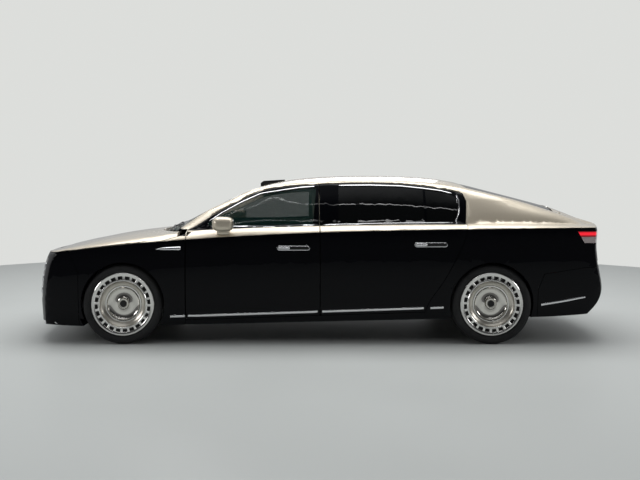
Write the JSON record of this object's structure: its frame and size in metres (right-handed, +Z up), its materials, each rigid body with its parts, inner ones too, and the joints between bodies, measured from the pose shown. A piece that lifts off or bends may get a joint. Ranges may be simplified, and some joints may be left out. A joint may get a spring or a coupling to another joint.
{
  "type": "luxury sedan",
  "caption": "Long two-tone sedan: hollow cabin behind hinged doors, rear-hinged hood, boot lid, upright grille, steered front wheels and free-turning dished wheels.",
  "frame": {"origin": "on the ground under the middle of the car", "axes": "+X to the rear, -Y to the car's left side, +Z up"},
  "size_m": [5.4791, 2.25, 1.5418],
  "materials": {
    "paint_black": "gloss",
    "paint_beige": "gloss",
    "gloss_black": "gloss",
    "chrome": "polished",
    "glass_clear": "polished",
    "glass_dark": "polished",
    "lamp_clear": "polished",
    "lamp_red": "gloss",
    "under_plastic": "matte",
    "steel": "satin",
    "aluminium": "satin",
    "rim_metal": "polished",
    "tyre": "matte",
    "leather": "satin",
    "leather_dark": "satin"
  },
  "bodies": {
    "body": {"cowl": "under_plastic", "front_fender_left": "paint_black", "front_fender_right": "paint_black", "front_bumper": "paint_black", "headlamps": "lamp_clear", "grille": "chrome", "roof_panel": "paint_beige", "windscreen": "glass_clear", "rear_window": "glass_dark", "tail_lamps": "lamp_red", "rear_bumper": "paint_black", "body_side_left": "paint_beige", "body_side_right": "paint_beige", "floor_pan": "steel", "wheel_arch_liners": "under_plastic", "front_subframe": "steel", "rear_subframe": "steel", "engine": "steel", "radiator": "aluminium", "dashboard": "leather_dark", "front_seats": "leather", "rear_seats": "leather", "roof_sensor": "gloss_black"},
    "hood": {"hood": "paint_beige"},
    "boot_lid": {"boot_lid": "paint_beige", "boot_lamp": "lamp_red"},
    "steering_wheel": {"steering_wheel": "leather_dark"},
    "steer_left": {"knuckle_front_left": "steel"},
    "steer_right": {"knuckle_front_right": "steel"},
    "front_door_left": {"front_door_left": "paint_black", "front_door_glass_left": "glass_clear", "mirror_left": "paint_beige"},
    "rear_door_left": {"rear_door_left": "paint_black", "rear_door_glass_left": "glass_dark"},
    "front_door_right": {"front_door_right": "paint_black", "front_door_glass_right": "glass_clear", "mirror_right": "paint_beige"},
    "rear_door_right": {"rear_door_right": "paint_black", "rear_door_glass_right": "glass_dark"},
    "wheel_front_left": {"tyre_front_left": "tyre", "rim_front_left": "rim_metal"},
    "wheel_front_right": {"tyre_front_right": "tyre", "rim_front_right": "rim_metal"},
    "wheel_rear_left": {"tyre_rear_left": "tyre", "rim_rear_left": "rim_metal"},
    "wheel_rear_right": {"tyre_rear_right": "tyre", "rim_rear_right": "rim_metal"}
  },
  "joints": [
    {"name": "front_door_left_hinge", "type": "hinge", "parent": "body", "child": "front_door_left", "pos_m": [-1.21, -0.975, 0.67], "axis": [0, 0, -1], "range_deg": [0, 65]},
    {"name": "rear_door_left_hinge", "type": "hinge", "parent": "body", "child": "rear_door_left", "pos_m": [0.0175, -0.975, 0.67], "axis": [0, 0, -1], "range_deg": [0, 65]},
    {"name": "front_door_right_hinge", "type": "hinge", "parent": "body", "child": "front_door_right", "pos_m": [-1.21, 0.975, 0.67], "axis": [0, 0, 1], "range_deg": [0, 65]},
    {"name": "rear_door_right_hinge", "type": "hinge", "parent": "body", "child": "rear_door_right", "pos_m": [0.0175, 0.975, 0.67], "axis": [0, 0, 1], "range_deg": [0, 65]},
    {"name": "hood_hinge", "type": "hinge", "parent": "body", "child": "hood", "pos_m": [-1.344, 0, 0.996], "axis": [0, 1, 0], "range_deg": [0, 50]},
    {"name": "boot_lid_hinge", "type": "hinge", "parent": "body", "child": "boot_lid", "pos_m": [2.103, 0, 1.155], "axis": [0, -1, 0], "range_deg": [0, 75]},
    {"name": "steer_left_pivot", "type": "hinge", "parent": "body", "child": "steer_left", "pos_m": [-1.825, -0.79, 0.365], "axis": [0, 0, 1], "range_deg": [-33, 33]},
    {"name": "wheel_front_left_spin", "type": "hinge", "parent": "steer_left", "child": "wheel_front_left", "pos_m": [-1.825, -0.8375, 0.365], "axis": [0, 1, 0], "continuous": true},
    {"name": "wheel_rear_left_spin", "type": "hinge", "parent": "body", "child": "wheel_rear_left", "pos_m": [1.545, -0.8375, 0.365], "axis": [0, 1, 0], "continuous": true},
    {"name": "steer_right_pivot", "type": "hinge", "parent": "body", "child": "steer_right", "pos_m": [-1.825, 0.79, 0.365], "axis": [0, 0, 1], "range_deg": [-33, 33]},
    {"name": "wheel_front_right_spin", "type": "hinge", "parent": "steer_right", "child": "wheel_front_right", "pos_m": [-1.825, 0.8375, 0.365], "axis": [0, 1, 0], "continuous": true},
    {"name": "wheel_rear_right_spin", "type": "hinge", "parent": "body", "child": "wheel_rear_right", "pos_m": [1.545, 0.8375, 0.365], "axis": [0, 1, 0], "continuous": true},
    {"name": "steering_wheel_turn", "type": "hinge", "parent": "body", "child": "steering_wheel", "pos_m": [-0.735, -0.37, 0.905], "axis": [0.9135, 0, 0.4067], "range_deg": [-450, 450]}
  ],
  "couplings": [
    {"joint": "steer_right_pivot", "follows": "steer_left_pivot", "ratio": 1},
    {"joint": "steering_wheel_turn", "follows": "steer_left_pivot", "ratio": 13.5}
  ]
}
